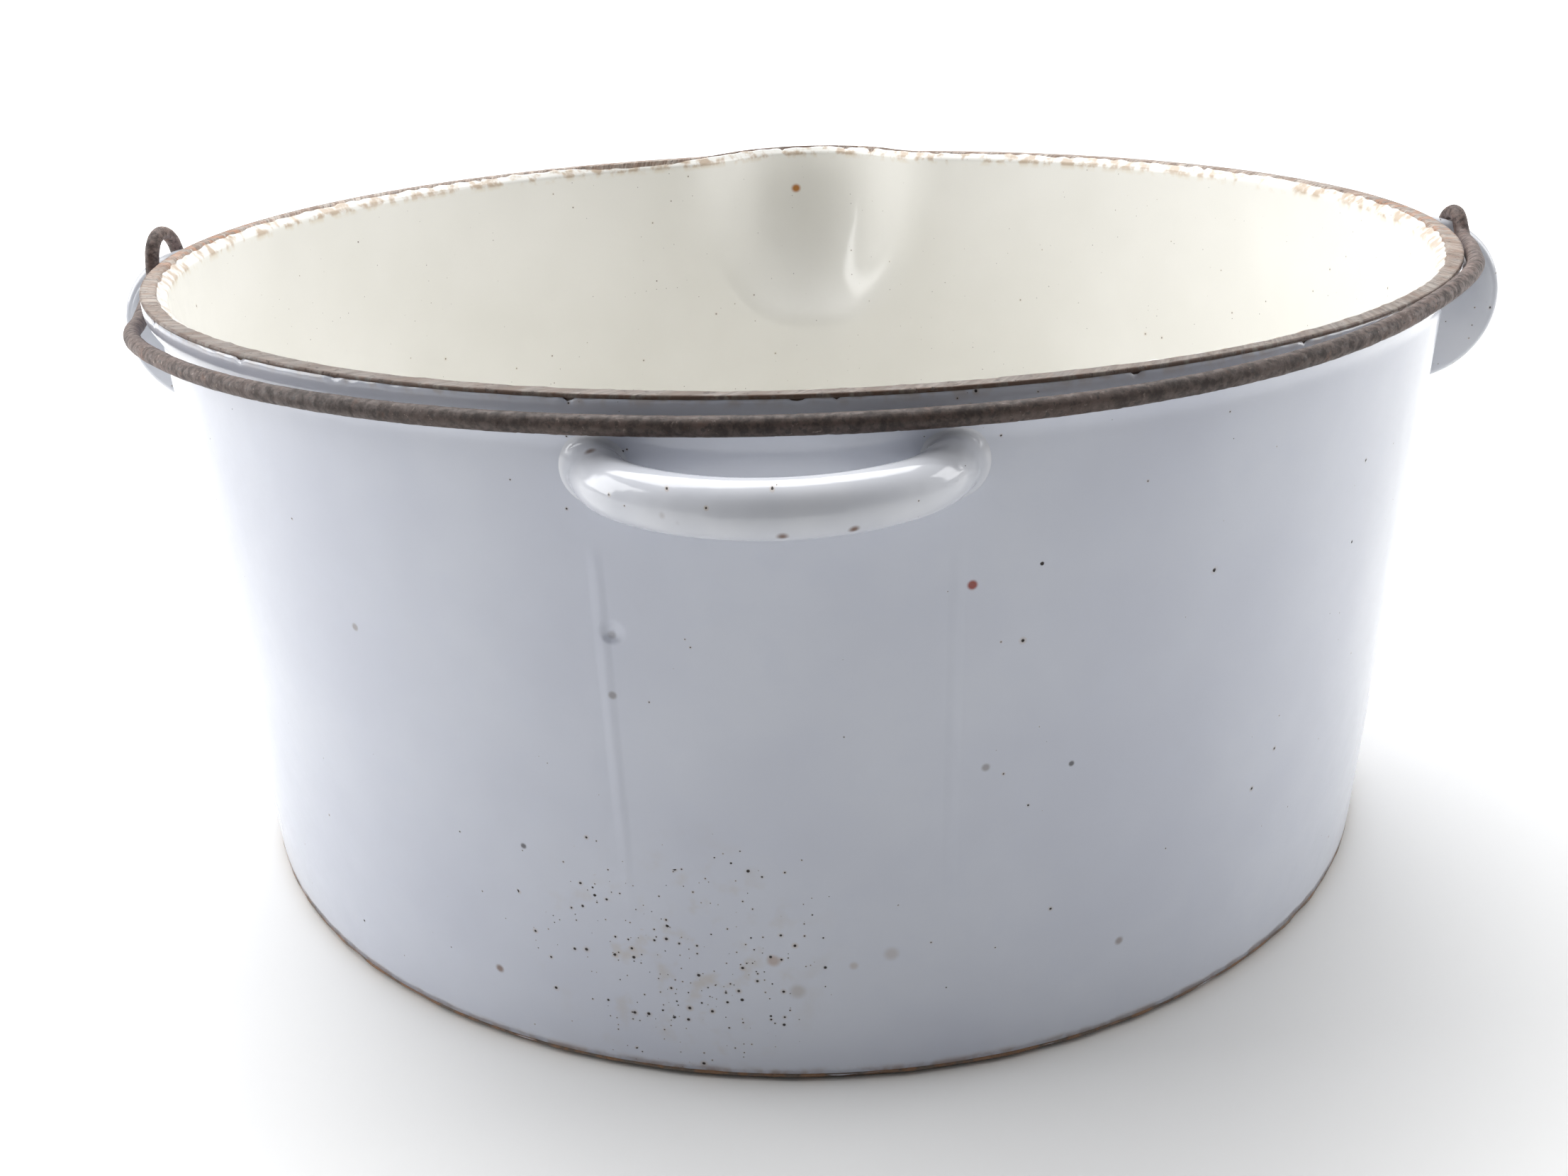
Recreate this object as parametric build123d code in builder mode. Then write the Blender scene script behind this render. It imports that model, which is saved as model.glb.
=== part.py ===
"""Enamelled cast iron stock pot with a pouring lip, a front grip, two side ears and a wire bail.

Frame: +Z up, origin on the floor under the centre of the pot. The grip is on -Y, the
pouring lip on +Y, and the ears that carry the bail are on +X and -X. All sizes in mm.
The bail is drawn lying forward, just under the rim and above the roots of the grip.
"""
import os
from math import asin, cos, pi, radians, sin, sqrt, tan

from build123d import *

os.makedirs("parts", exist_ok=True)

# ---------------------------------------------------------------- driving sizes
# Cast body
rim_r = 200.0           # outer radius of the ground rim
rim_z = 185.0           # height of the ground rim above the floor
foot_r = 190.0          # outer radius of the wall at the foot
rim_flare = 3.2         # how far the rim stands out from the line of the plain wall
wall_t = 3.6            # finished wall, iron and both coats
floor_t = 5.4           # finished floor, iron and its inner coat
corner_r = 16.0         # inside radius between wall and floor
foot_bevel = 1.6        # bevel around the foot
foot_bare_h = 3.0       # bare iron left above the floor
lip_h = 13.0            # height of the outward flare under the rim
lip_flat_h = 4.0        # upright edge above the flare
lip_bend_r = 14.0       # rounding where the wall turns into the flare
rim_flat = 3.8          # width of the ground top face
rim_bevel_h = 3.2       # drop of the ground bevel inside the rim
rim_bare_h = 1.4        # bare iron left below the top face, outside
coat_t = 0.4            # enamel thickness

# Pouring lip, half a spheroid bulged out of the wall
spout_r = 45.0          # radius of the lip in the rim plane
spout_in = 20.0         # centre of that radius, inside the rim
spout_drop = 78.0       # depth of the spheroid below the rim plane

# Front grip
grip_bar_r = 6.2        # finished bar radius
grip_reach = 21.9       # bar centre beyond the wall, at the middle
grip_half_w = 37.9      # half the distance between the root centres
grip_bow_r = 46.0       # radius of the bowed middle
grip_bow_half = 25.5    # half width of the bowed middle
grip_drop = 17.8        # bar centre below the rim
root_floor = 0.8        # iron left between a cast-in root and the inner coat

# Side ears
ear_r = 26.5            # outer radius of the half-disc
ear_off = 5.8           # centre of the disc outside the wall
ear_drop = 28.5         # centre of the disc below the rim
ear_t = 9.0             # finished thickness, along Y
ear_round = 3.4         # rounding of the ear's outer edges
eye_out = 9.5           # eye centre outward of the disc's centre
eye_play = 2.95         # room around the bail wire in the eye
eye_round = 0.8         # rounding of the eye's mouths
bridge_h = 6.3          # metal over the eye, which the bail's hook goes round

# Bail, hand bent, so its two ends differ
wire_r = 2.25           # wire radius
bail_play = 1.75        # room between the wire and the rim
bail_drop = 5.2         # wire centre below the rim, at the front
hook_loose_l = 1.85     # how much wider the left hook is than a ring round bridge and eye centre
hook_loose_r = -0.5     # the same for the right hook, which is bent tighter
hook_sag_l = 0.0        # middle of the left hook below the middle of the bridge
hook_sag_r = 1.6        # the same for the right hook
hook_open_l = 15.0      # where the wire leaves the left hook, degrees above the front
hook_open_r = 40.0      # the same for the right hook
hook_tip = 300.0        # where both hooks end, same measure
hook_leg_l = 6.5        # wire between the left hook and the corner of its foot bend
hook_leg_r = 5.0        # the same for the right hook
foot_bend_r = 6.0       # radius of the foot bends
end_turn_l = 73.0       # where the left end meets the long bow, degrees round from the front
end_turn_r = 78.0       # the same for the right end
end_out_l = -0.5        # how much further out than the bow the left one is
end_out_r = 0.6         # the same for the right one
end_rise_l = -12.8      # height of the left one above the rim
end_rise_r = -4.0       # the same for the right one
end_bend_r = 200.0      # radius of those corners
bow_step = 19.5         # turn between the corner points of the long bow
bow_rise_l = (-0.3, -1.0, -2.5)  # height over the front of the bow, 1, 2 and 3 steps to the left
bow_rise_r = (0.2, 2.2, 7.0)     # the same to the right

# ---------------------------------------------------------------- derived sizes
wall_draw = rim_r - rim_flare - foot_r
root_d = wall_t - 2 * coat_t - root_floor
past = 8.0              # how far cutting shapes run past the rim
fill = 0.96             # share of the largest arc that a bent bar's corners take


def wall_r(z):
    """Outer radius of the plain wall at height z."""
    return foot_r + wall_draw * z / rim_z


bevel_z = rim_z - rim_bevel_h
bare_z = rim_z - rim_bare_h
grip_z = rim_z - grip_drop
grip_y = wall_r(grip_z) + grip_reach
ear_z = rim_z - ear_drop
ear_x = wall_r(ear_z) + ear_off
eye_x = ear_x + eye_out
eye_r = wire_r + eye_play
bridge_top = ear_z + sqrt(ear_r**2 - eye_out**2)
eye_z = bridge_top - bridge_h - eye_r
bridge_z = bridge_top - bridge_h / 2
bail_r = rim_r + wire_r + bail_play
spout_y = rim_r - spout_in


def outer_solid(inset):
    """The pot's outside as a filled solid, its surface moved inward by inset."""
    lip_z = rim_z - lip_h
    with BuildPart() as body:
        with BuildSketch(Plane.XZ):
            with BuildLine():
                Polyline(
                    (0, 0),
                    (foot_r - foot_bevel - inset, 0),
                    (wall_r(foot_bevel) - inset, foot_bevel),
                    (wall_r(lip_z) - inset, lip_z),
                    (rim_r - inset, rim_z - lip_flat_h),
                    (rim_r - inset, rim_z),
                    (0, rim_z),
                    close=True,
                )
            make_face()
        revolve(axis=Axis.Z)
        lip_edges = body.edges().filter_by(GeomType.CIRCLE).group_by(Axis.Z)
        fillet([e for g in lip_edges for e in g if abs(e.center().Z - lip_z) < 0.01],
               radius=lip_bend_r)
    return body.part


def spout_solid(inset):
    """The lip's half spheroid, its widest circle just above the rim, moved inward by inset."""
    r, drop = spout_r - inset, spout_drop + past - inset
    top = rim_z + past
    with BuildPart() as scoop:
        with BuildSketch(Plane.XZ.offset(-spout_y)):
            with BuildLine():
                EllipticalCenterArc((0, top), r, drop, start_angle=-90, arc_size=90)
                Polyline((r, top), (0, top), (0, top - drop))
            make_face()
        revolve(axis=Axis((0, spout_y, 0), (0, 0, 1)))
    return scoop.part


def void_solid(grow, top):
    """The pot's inside as a filled solid, its surface moved outward by grow, up to top."""
    with BuildPart() as void:
        with BuildSketch(Plane.XZ):
            with BuildLine():
                Polyline(
                    (0, floor_t - grow),
                    (wall_r(floor_t) - wall_t + grow, floor_t - grow),
                    (wall_r(top) - wall_t + grow, top),
                    (0, top),
                    close=True,
                )
            make_face()
        revolve(axis=Axis.Z)
        floor_edge = void.edges().filter_by(GeomType.CIRCLE).group_by(Axis.Z)[0]
        fillet(floor_edge, radius=corner_r + grow)
    return void.part


def slab(z_low, z_high):
    """A block that covers the whole pot between two heights."""
    side = 2.5 * (rim_r + spout_r)
    with BuildPart() as block:
        with BuildSketch(Plane.XY.offset(z_low)):
            Rectangle(side, side)
        extrude(amount=z_high - z_low)
    return block.part


# ---------------------------------------------------------------- body and coats
below_rim = slab(-1, rim_z)
outside = outer_solid(0) + (spout_solid(0) & below_rim)
iron_out = outer_solid(coat_t) + (spout_solid(coat_t) & below_rim)
inside = void_solid(0, bevel_z) + spout_solid(wall_t)
iron_in = void_solid(coat_t, bevel_z) + (spout_solid(wall_t - coat_t) & slab(0, bevel_z))

with BuildPart() as rim_bevel:
    with BuildSketch(Plane.XZ):
        with BuildLine():
            Polyline(
                (0, bevel_z),
                (wall_r(bevel_z) - wall_t, bevel_z),
                (rim_r - rim_flat, rim_z),
                (rim_r - rim_flat, rim_z + past),
                (0, rim_z + past),
                close=True,
            )
        make_face()
    revolve(axis=Axis.Z)

bare = (outside & slab(bare_z, rim_z)) + (outside & slab(0, foot_bare_h))
raw_body = (iron_out + bare) - iron_in - inside - rim_bevel.part
coat_zone = slab(foot_bare_h, bare_z)
raw_outer_coat = ((outside - iron_out) & coat_zone)
raw_inner_coat = (iron_in - inside) & slab(0, bevel_z)

# Everything nearer the axis than the bottom of the cast-in root pockets
with BuildPart() as core:
    with BuildSketch(Plane.XZ):
        with BuildLine():
            Polyline(
                (0, 0),
                (wall_r(0) - coat_t - root_d, 0),
                (wall_r(rim_z) - coat_t - root_d, rim_z),
                (0, rim_z),
                close=True,
            )
        make_face()
    revolve(axis=Axis.Z)


# ---------------------------------------------------------------- grip
def grip_blank(bar_r):
    """A bowed bar with two bent legs that run into the wall."""
    bow_rise = grip_bow_r - sqrt(grip_bow_r**2 - grip_bow_half**2)
    slope = asin(grip_bow_half / grip_bow_r)
    knee_run = (grip_half_w - grip_bow_half) / cos(slope)
    knee_r = knee_run / tan((pi / 2 - slope) / 2)
    peak = grip_y - bow_rise + grip_bow_half * tan(slope)
    knee = grip_y - bow_rise - (grip_half_w - grip_bow_half) * tan(slope)
    root = wall_r(grip_z) - 2 * grip_bar_r
    w = grip_half_w
    with BuildPart() as bar:
        with BuildLine(Plane.XY.offset(grip_z)) as path:
            FilletPolyline(
                (-w, -root), (-w, -knee), (0, -peak), (w, -knee), (w, -root),
                radius=[fill * knee_r, fill * grip_bow_r, fill * knee_r],
            )
        with BuildSketch(Plane(path.line @ 0, z_dir=path.line % 0)):
            Circle(bar_r)
        sweep()
    return bar.part


grip_full = grip_blank(grip_bar_r)
grip_iron = grip_blank(grip_bar_r - coat_t) - core.part


# ---------------------------------------------------------------- ears
def ear_blank(inset):
    """A rounded half-disc on the +X side with an eye along Y, its skin moved in by inset."""
    with BuildPart() as ear:
        with BuildSketch(Plane.XZ):
            with Locations((ear_x, ear_z)):
                Circle(ear_r - inset)
        extrude(amount=ear_t / 2 - inset, both=True)
        fillet(ear.edges().filter_by(GeomType.CIRCLE), radius=ear_round - inset)
        with Locations(Plane((eye_x, 0, eye_z), z_dir=(0, 1, 0))):
            Cylinder(eye_r + inset, 2 * ear_t, mode=Mode.SUBTRACT)
        mouths = ear.edges().filter_by(GeomType.CIRCLE).filter_by(
            lambda e: abs(e.radius - eye_r - inset) < 0.01 and abs(e.center().X - eye_x) < 0.01
        )
        fillet(mouths, radius=eye_round)
    return ear.part


ear_full = ear_blank(0)
ear_iron = ear_blank(coat_t) - core.part
ear_full_l = mirror(ear_full, about=Plane.YZ)
ear_iron_l = mirror(ear_iron, about=Plane.YZ)

# ---------------------------------------------------------------- finished castings and coats
irons = [grip_iron, ear_iron, ear_iron_l]
fulls = [grip_full, ear_full, ear_full_l]


def finish(part, name):
    """Label one finished piece and write it."""
    part.label = name
    export_step(part, f"parts/{name}.step")


with BuildPart() as pot_casting:
    add(raw_body)
    for piece in irons:
        add(piece, mode=Mode.SUBTRACT)
finish(pot_casting.part, "pot_casting")

with BuildPart() as inner_enamel:
    add(raw_inner_coat)
finish(inner_enamel.part, "inner_enamel")

with BuildPart() as outer_enamel:
    add(raw_outer_coat)
    for piece in fulls:
        add(piece, mode=Mode.SUBTRACT)
finish(outer_enamel.part, "outer_enamel")

with BuildPart() as front_grip:
    add(grip_iron)
finish(front_grip.part, "front_grip")

with BuildPart() as right_ear:
    add(ear_iron)
finish(right_ear.part, "right_ear")

with BuildPart() as left_ear:
    add(ear_iron_l)
finish(left_ear.part, "left_ear")


with BuildPart() as grip_enamel:
    add(grip_full)
    add(grip_iron, mode=Mode.SUBTRACT)
    add(iron_out, mode=Mode.SUBTRACT)
finish(grip_enamel.part, "grip_enamel")

with BuildPart() as right_ear_enamel:
    add(ear_full)
    add(ear_iron, mode=Mode.SUBTRACT)
    add(iron_out, mode=Mode.SUBTRACT)
finish(right_ear_enamel.part, "right_ear_enamel")

with BuildPart() as left_ear_enamel:
    add(ear_full_l)
    add(ear_iron_l, mode=Mode.SUBTRACT)
    add(iron_out, mode=Mode.SUBTRACT)
finish(left_ear_enamel.part, "left_ear_enamel")

# ---------------------------------------------------------------- bail
# Hand bent: everything about one end of the wire, by side
left, right = -1, 1
hook_r = {left: bridge_h / 2 + eye_r + hook_loose_l, right: bridge_h / 2 + eye_r + hook_loose_r}
hook_z = {left: bridge_z - hook_sag_l, right: bridge_z - hook_sag_r}
hook_open = {left: hook_open_l, right: hook_open_r}
hook_leg = {left: hook_leg_l, right: hook_leg_r}
end_turn = {left: end_turn_l, right: end_turn_r}
end_out = {left: end_out_l, right: end_out_r}
end_rise = {left: end_rise_l, right: end_rise_r}
bow_rise = {left: bow_rise_l, right: bow_rise_r}


def on_hook(side, angle):
    """A point of a hook's centre line; 0 degrees is to the front, 90 is up."""
    a = radians(angle)
    return Vector(side * eye_x, -hook_r[side] * cos(a), hook_z[side] + hook_r[side] * sin(a))


def hook_arc(side):
    """The three points of a hook's arc, from its tip over the top to where the wire leaves."""
    angles = (hook_tip, (hook_tip + hook_open[side]) / 2, hook_open[side])
    return [on_hook(side, angle) for angle in angles]


def end_run(side):
    """Corner points of one bent end, from the hook to the start of the long bow."""
    a = radians(hook_open[side])
    leave = on_hook(side, hook_open[side])
    foot = leave + Vector(0, -sin(a), -cos(a)) * hook_leg[side]
    turn = radians(end_turn[side])
    out = bail_r + end_out[side]
    return [leave, foot, Vector(side * out * sin(turn), -out * cos(turn), rim_z + end_rise[side])]


def bow_point(side, count, rise):
    """A corner point of the long bow, count steps round from the front."""
    step = radians(bow_step)
    r = bail_r / cos(step / 2)
    return Vector(side * r * sin(count * step), -r * cos(count * step), rim_z - bail_drop + rise)


def half_bow(side):
    """Corner points from the front of the bow round to one hook."""
    bow = [bow_point(side, n + 1, rise) for n, rise in enumerate(bow_rise[side])]
    return bow + end_run(side)[::-1]


corners = half_bow(left)[::-1] + [bow_point(right, 0, 0)] + half_bow(right)
bow_bend_r = fill * bail_r
outer_bend_r = 0.82 * bow_bend_r    # the bow's last corners are a little tighter
end_radii = [foot_bend_r, end_bend_r, outer_bend_r]
radii = end_radii + 5 * [bow_bend_r] + end_radii[::-1]

with BuildPart() as bail:
    with BuildLine() as wire_path:
        ThreePointArc(*hook_arc(left))
        FilletPolyline(*corners, radius=radii)
        ThreePointArc(*hook_arc(right)[::-1])
    with BuildSketch(Plane(wire_path.wire() @ 0, z_dir=wire_path.wire() % 0)):
        Circle(wire_r)
    sweep(path=wire_path.wire())
finish(bail.part, "bail")

wire_length = wire_path.wire().length
print("wire", round(wire_length, 1), "volume ratio",
      round(bail.part.volume / (pi * wire_r**2 * wire_length), 4))
print("hook middles", [(round(side * eye_x, 2), round(hook_z[side], 2)) for side in (left, right)])
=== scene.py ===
"""Old enamelled cast iron pot: glazed shells over iron, a ground rim and a rusty wire bail.

Lengths are in millimetres and become metres when a mesh is made. Angles round the pot are
measured from the front (-Y) toward +X. The pot's axis is Z and it stands on z = 0.
"""
from itertools import product
from math import acos, asin, cos, pi, radians, sin, sqrt, tan

import bpy
import numpy as np
from mathutils import Matrix, Vector


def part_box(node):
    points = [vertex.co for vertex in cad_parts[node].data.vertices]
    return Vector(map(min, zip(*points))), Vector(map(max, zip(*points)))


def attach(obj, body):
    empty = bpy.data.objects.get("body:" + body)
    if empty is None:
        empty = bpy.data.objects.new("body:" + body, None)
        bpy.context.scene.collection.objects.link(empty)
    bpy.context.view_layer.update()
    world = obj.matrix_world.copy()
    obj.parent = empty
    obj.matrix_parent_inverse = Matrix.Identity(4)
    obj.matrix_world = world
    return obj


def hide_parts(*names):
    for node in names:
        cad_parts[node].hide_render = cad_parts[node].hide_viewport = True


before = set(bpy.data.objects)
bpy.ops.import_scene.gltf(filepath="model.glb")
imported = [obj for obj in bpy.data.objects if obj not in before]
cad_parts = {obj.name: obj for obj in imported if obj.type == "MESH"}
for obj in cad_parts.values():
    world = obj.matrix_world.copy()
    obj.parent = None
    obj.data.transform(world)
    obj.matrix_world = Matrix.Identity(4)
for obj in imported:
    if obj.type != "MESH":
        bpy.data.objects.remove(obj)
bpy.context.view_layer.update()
MM = 0.001

# ------------------------------------------------------------------ sizes
casting_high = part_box("pot_casting")[1]
RIM_R = casting_high.x / MM         # outer radius of the rim
RIM_Z = casting_high.z / MM         # height of the rim
LIP_REACH = casting_high.y / MM     # pouring lip, from the pot's axis

FOOT_R = 190.0                      # wall radius at the foot
WALL_DRAW = 6.8                     # how much the plain wall widens up to rim height
WALL_T = 3.6                        # wall, iron and both coats
FLOOR_T = 5.4                       # floor, iron and its inner coat
COAT_T = 0.4                        # enamel
CORNER_R = 16.0                     # inside corner between wall and floor
FOOT_BEVEL = 1.6
LIP_H, LIP_FLAT_H = 13.0, 4.0       # flare under the rim and the upright edge over it
RIM_FLAT, RIM_BEVEL_H = 3.8, 3.2    # ground top face and the ground bevel inside it

SPOUT_R, SPOUT_DROP = 45.0, 78.0    # pouring lip: radius in the rim plane and depth below it
SPOUT_Y = LIP_REACH - SPOUT_R

GRIP_R, GRIP_REACH, GRIP_DROP = 6.2, 21.9, 17.8
GRIP_HALF_W, BOW_R, BOW_HALF = 37.9, 46.0, 25.5
GRIP_POOL = 3.0                     # width of the glaze pooled round the grip's roots

EAR_R, EAR_OFF, EAR_DROP, EAR_T = 26.5, 5.8, 28.5, 9.0
EAR_ROUND, EAR_CROWN, EAR_POOL, EAR_SINK = 3.4, 0.9, 3.5, 2.6
EYE_OUT, EYE_ROUND, BRIDGE_H = 9.5, 0.9, 6.3
WIRE_R, EYE_PLAY, BAIL_PLAY, BAIL_DROP = 2.25, 2.95, 1.75, 5.2

OUTER_BLEND, INNER_BLEND = 7.0, 18.0    # softness where the lip leaves the wall
HALVINGS = 26                       # interval halvings when a radius is solved for

COLUMNS = 1100                      # mesh columns round the pot


def wall_line(z):
    """Radius of the plain wall: a straight taper."""
    return FOOT_R + WALL_DRAW * z / RIM_Z


def smooth(x, low, high):
    """S-shaped step from 0 at low to 1 at high: 3t^2 - 2t^3."""
    t = np.clip((x - low) / (high - low), 0.0, 1.0)
    return t * t * (3 - 2 * t)


def flared_line(z):
    """Outer radius without the lip: the taper, carried out to the rim over the flare's height."""
    share = smooth(z, RIM_Z - LIP_H, RIM_Z - LIP_FLAT_H)
    return wall_line(z) + (RIM_R - wall_line(z)) * share


def joined_radius(angle, z, plain_r, inset, blend):
    """Radius of the smooth union of the wall and the pouring lip's half spheroid.

    At height z the spheroid is a circle round (0, SPOUT_Y). Its distance and the wall's are
    joined with a polynomial smooth minimum of width blend, and the zero is found by halving.
    """
    deep = np.clip((RIM_Z - z) / (SPOUT_DROP - inset), 0, 1.2)
    share = np.where(deep < 0.98, np.sqrt(np.maximum(1 - deep**2, 0)), 0.2 - (deep - 0.98))
    circle = (SPOUT_R - inset) * share
    low, high = plain_r - 3.0, plain_r + 45.0
    for _ in range(HALVINGS):
        r = (low + high) / 2
        to_wall = r - plain_r
        to_lip = np.hypot(r * np.sin(angle), -r * np.cos(angle) - SPOUT_Y) - circle
        mix = np.clip(0.5 + 0.5 * (to_lip - to_wall) / blend, 0, 1)
        apart = to_lip + (to_wall - to_lip) * mix - blend * mix * (1 - mix)
        low, high = np.where(apart < 0, r, low), np.where(apart < 0, high, r)
    return (low + high) / 2


def outside_r(angle, z):
    """Finished outer radius."""
    return joined_radius(angle, z, flared_line(z), 0.0, OUTER_BLEND)


def inside_r(angle, z):
    """Finished inner radius."""
    return joined_radius(angle, z, wall_line(z) - WALL_T, WALL_T, INNER_BLEND)


def lumps(points, cell, seed):
    """Smooth random heights from -1 to 1: a random lattice, blended between its corners."""
    size = 32
    table = np.random.default_rng(seed).uniform(-1, 1, (size, size, size))
    place = points / cell
    corner = np.floor(place).astype(int)
    part = place - corner
    part = part * part * (3 - 2 * part)
    total = np.zeros(points.shape[:-1])
    for step in product((0, 1), repeat=3):
        weight = np.prod(np.where(step, part, 1 - part), axis=-1)
        i, j, k = np.moveaxis((corner + step) % size, -1, 0)
        total += weight * table[i, j, k]
    return total


# ------------------------------------------------------------------ meshes
def make_piece(name, points, faces, finish, body, replaced, slot):
    """A smooth mesh object from points in mm and index rows, with its faces turned outward."""
    points = np.asarray(points, float).reshape(-1, 3) * MM
    corners = [points[faces[:, i]] for i in range(3)]
    spin = np.einsum("ij,ij->", corners[0], np.cross(corners[1], corners[2]))
    if faces.shape[1] == 4:
        last = points[faces[:, 3]]
        spin += np.einsum("ij,ij->", corners[0], np.cross(corners[2], last))
    if spin < 0:
        faces = faces[:, ::-1]
    rows = [tuple(dict.fromkeys(row)) for row in faces.tolist()]
    mesh = bpy.data.meshes.new(name)
    mesh.from_pydata(points.tolist(), [], rows)
    mesh.polygons.foreach_set("use_smooth", np.ones(len(rows), bool))
    mesh.materials.append(finish)
    mesh.update()
    piece = bpy.data.objects.new(name, mesh)
    bpy.context.scene.collection.objects.link(piece)
    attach(piece, body)
    if replaced:
        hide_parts(*replaced)
    return piece


def grid_faces(rows, columns, wrap_rows, wrap_columns):
    """Quads of a grid of points, rows by columns, joined round either way."""
    i = np.arange(rows if wrap_rows else rows - 1)[:, None]
    j = np.arange(columns if wrap_columns else columns - 1)[None, :]
    down, right = (i + 1) % rows, (j + 1) % columns
    quads = [i * columns + j, i * columns + right, down * columns + right, down * columns + j]
    return np.stack([q + 0 * i + 0 * j for q in quads], axis=-1).reshape(-1, 4)


def closed_grid(points):
    """Points and faces of a grid closed round its columns, each end drawn to a middle point."""
    rows, columns = points.shape[:2]
    faces = grid_faces(rows, columns, False, True)
    ends = [points[0].mean(0), points[-1].mean(0)]
    j = np.arange(columns)
    nxt = (j + 1) % columns
    first, last = rows * columns, rows * columns + 1
    base = (rows - 1) * columns
    top_fan = np.stack([j, first + 0 * j, first + 0 * j, nxt], axis=-1)
    end_fan = np.stack([base + nxt, last + 0 * j, last + 0 * j, base + j], axis=-1)
    return np.vstack([points.reshape(-1, 3), ends]), np.vstack([faces, top_fan, end_fan])


def on_pot(angle, r, z):
    """Points at given angles, radii and heights."""
    angle, r, z = np.broadcast_arrays(angle, r, z)
    return np.stack([r * np.sin(angle), -r * np.cos(angle), z], axis=-1)


around = np.linspace(-pi, pi, COLUMNS, endpoint=False)


def ragged(size, waves, seed):
    """An uneven line round the pot: sines of many wave numbers with random phases."""
    dice = np.random.default_rng(seed)
    numbers = dice.integers(waves[0], waves[1], 40)
    phases = dice.uniform(0, 2 * pi, 40)
    line = np.sin(numbers[:, None] * around + phases[:, None]).sum(0)
    return size * line / sqrt(20)


def chips(places, seed, count, width, depth):
    """Depth of broken enamel round an edge: rounded notches at given angles and random ones."""
    dice = np.random.default_rng(seed)
    angles = np.concatenate([np.radians(places), dice.uniform(-pi, pi, count)])
    widths = dice.uniform(*width, len(angles))
    depths = dice.uniform(*depth, len(angles))
    apart = np.angle(np.exp(1j * (around[None, :] - angles[:, None]))) * RIM_R
    return (depths[:, None] * np.exp(-((apart / widths[:, None]) ** 4))).max(0)


def outer_glaze_rows():
    """The outer coat, a thin ring closed over its edges; its top edge is chipped and uneven."""
    broken = chips((-29, -13.4, -12, 1.6), 2, 22, (0.6, 1.8), (0.3, 1.3))
    top = RIM_Z - 0.75 + ragged(0.10, (30, 260), 1) - broken
    bottom = 1.9 + ragged(0.16, (15, 160), 3)
    share = np.concatenate([np.linspace(0, 0.85, 44, endpoint=False), np.linspace(0.85, 1, 26)])
    z = bottom + (top - bottom) * share[:, None]
    outer = outside_r(around, z)
    outer[0] -= 0.22
    outer[-1] -= 0.22
    back_share = np.concatenate([[1.0], np.linspace(0.985, 0.9, 6), np.linspace(0.82, 0.0, 12)])
    back_z = bottom + (top - bottom) * back_share[:, None]
    back = outside_r(around, back_z) - COAT_T
    return on_pot(around, np.vstack([outer, back]), np.vstack([z, back_z]))


def bowl_rows(inset, top, wall_count):
    """The inside from the rim down: wall rows, a quarter circle in the corner, then the floor."""
    knee_z = FLOOR_T + CORNER_R
    share = np.linspace(0, 1, wall_count) ** 1.35
    z = top + (knee_z - top) * share[:, None]
    r = inside_r(around, z) + inset
    turn = np.linspace(0, pi / 2, 14)[1:, None]
    corner_r = CORNER_R + inset
    middle = r[-1] - corner_r
    floor_z = knee_z - corner_r
    floor_share = np.array([0.85, 0.6, 0.35, 0.12])[:, None]
    r = np.vstack([r, middle + corner_r * np.cos(turn), middle * floor_share])
    z = np.vstack([z, knee_z - corner_r * np.sin(turn) + 0 * around, floor_z + 0 * floor_share * around])
    return r, z


def bevel_line(share):
    """Radius and height on the bevel inside the rim, from 0 at its foot to 1 at the top face."""
    bevel_z = RIM_Z - RIM_BEVEL_H
    foot = inside_r(around, bevel_z + 0 * around)
    return foot + share * (RIM_R - RIM_FLAT - wall_line(bevel_z) + WALL_T), bevel_z + share * RIM_BEVEL_H


def inner_glaze_rows():
    """The inner coat, a thin bowl that climbs the bevel: its seen side from the floor up, then its back."""
    top = RIM_Z - RIM_BEVEL_H - 0.05 + 0 * around
    reach = 0.80 + ragged(0.05, (20, 200), 5) - chips((), 6, 14, (0.5, 1.5), (0.1, 0.5))
    front_r, front_z = bowl_rows(0.0, top, 52)
    back_r, back_z = bowl_rows(COAT_T, top, 18)
    climb = np.array([0.15, 0.4, 0.65, 0.85, 0.97])[:, None] * reach
    bevel_r, bevel_z = bevel_line(climb)
    under_r, under_z = bevel_line(climb[::-1])
    tip_r, tip_z = bevel_line(reach[None, :])
    r = np.vstack([front_r[::-1], bevel_r - 0.22, tip_r, under_r + 0.2, back_r])
    z = np.vstack([front_z[::-1], bevel_z + 0.15, tip_z - 0.05, under_z - 0.15, back_z])
    return on_pot(around, r, z)


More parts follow.
